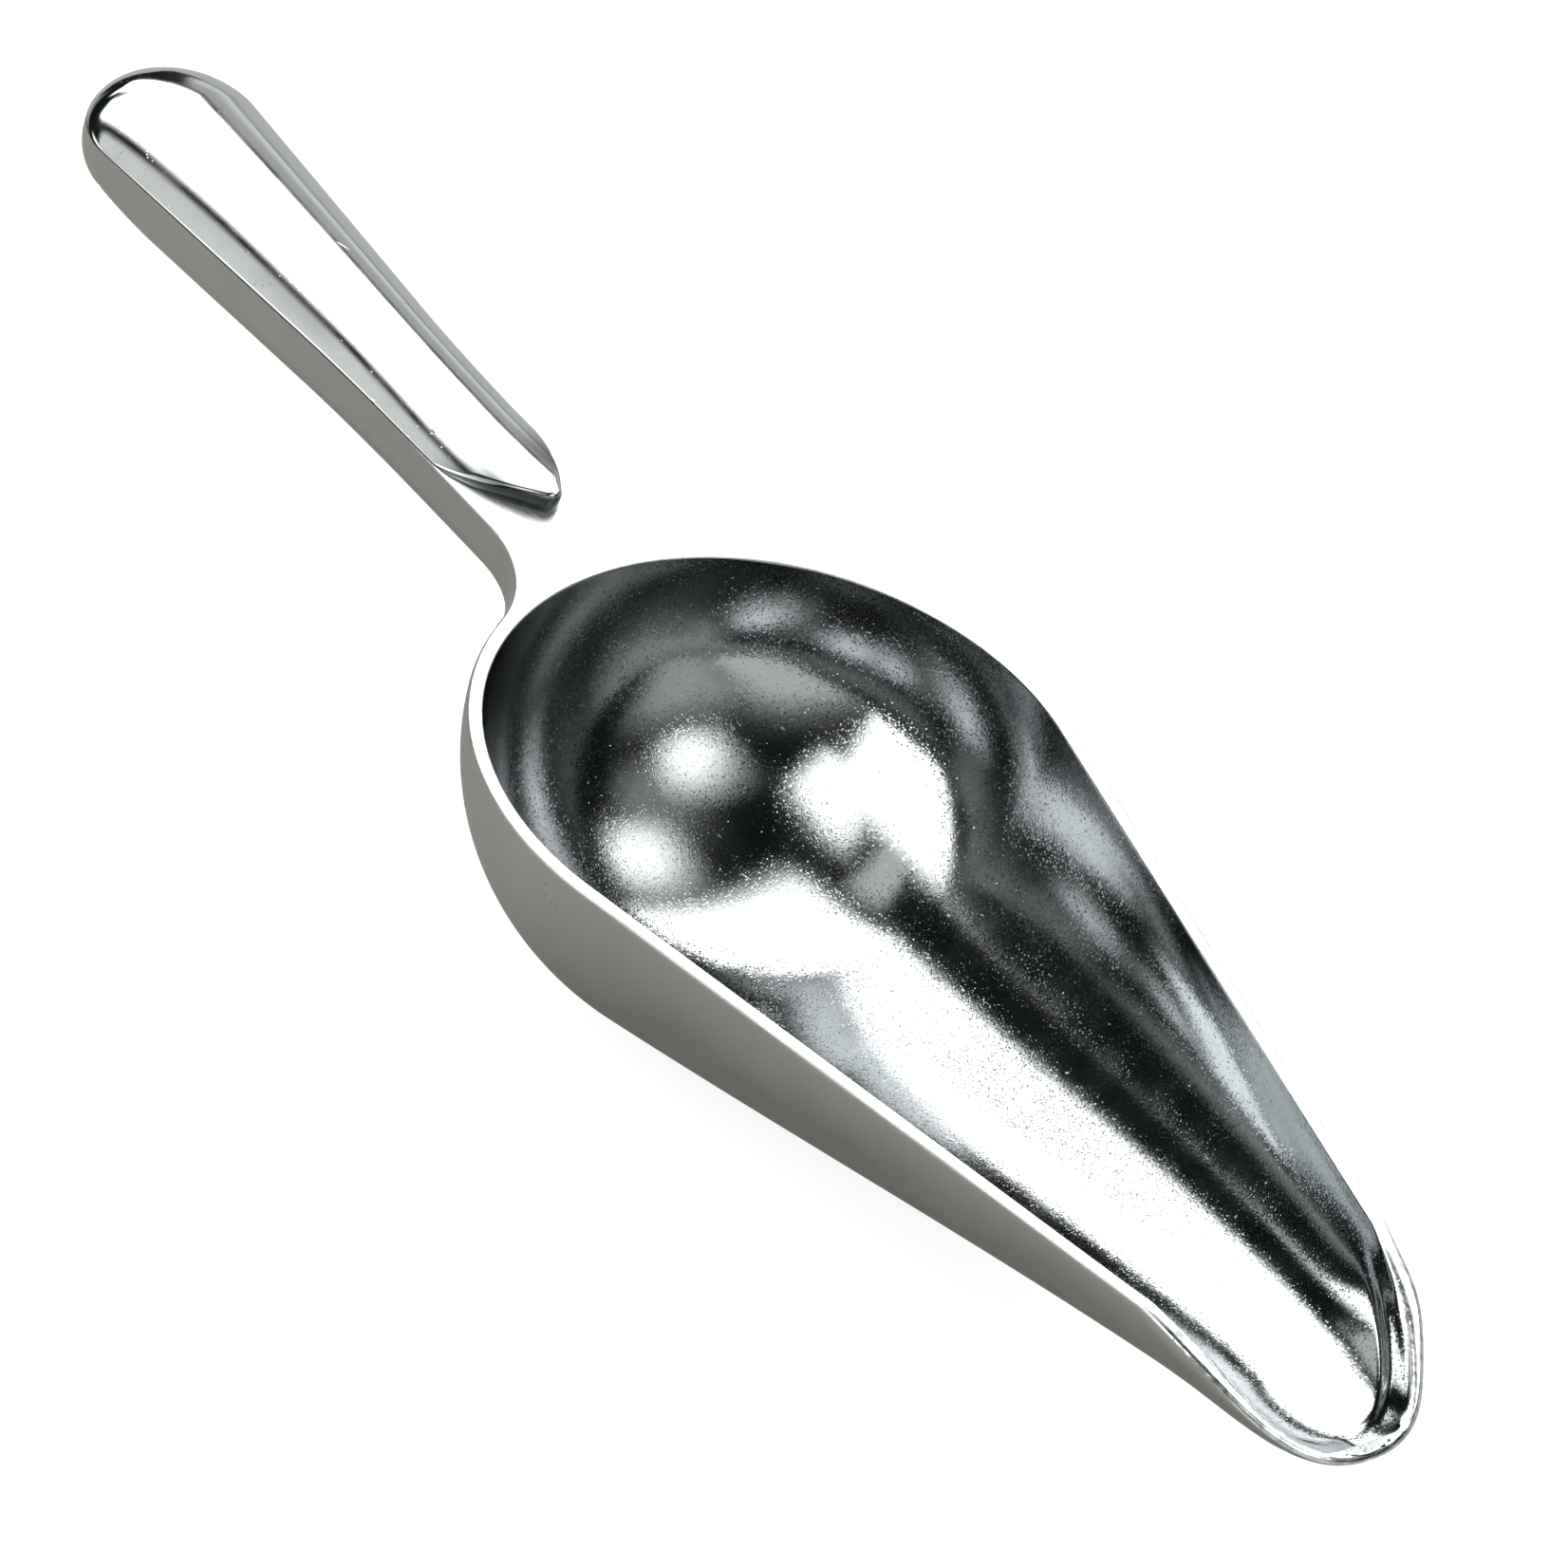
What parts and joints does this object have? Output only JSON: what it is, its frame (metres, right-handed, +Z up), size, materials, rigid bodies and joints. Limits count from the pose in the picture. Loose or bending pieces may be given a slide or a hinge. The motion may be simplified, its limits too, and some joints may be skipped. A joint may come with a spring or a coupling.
{
  "type": "ice scoop",
  "caption": "Cast aluminium ice scoop: deep round-backed bowl tapering to a rounded nose, with a flat ground rim, a flared neck and a straight solid handle with a raised polished top.",
  "frame": {"origin": "on the long axis, on the flat ground top face, where the neck meets the rear of the bowl's rim", "axes": "+X along the scoop to the nose of the bowl, so the handle runs along -X; +Z up out of the bowl's mouth, square to the ground rim; +Y to the left when looking along +X"},
  "size_m": [0.2681, 0.0822, 0.0409],
  "materials": {
    "cast_aluminium": "bright polished inside, fine satin outside, ground rim",
    "satin_aluminium": "fine satin, as shot-blasted casting",
    "polished_aluminium": "buffed bright, with small nicks along the parting line"
  },
  "bodies": {
    "root": {"bowl": "cast_aluminium", "handle_base": "satin_aluminium", "handle_crown": "polished_aluminium"}
  },
  "joints": []
}
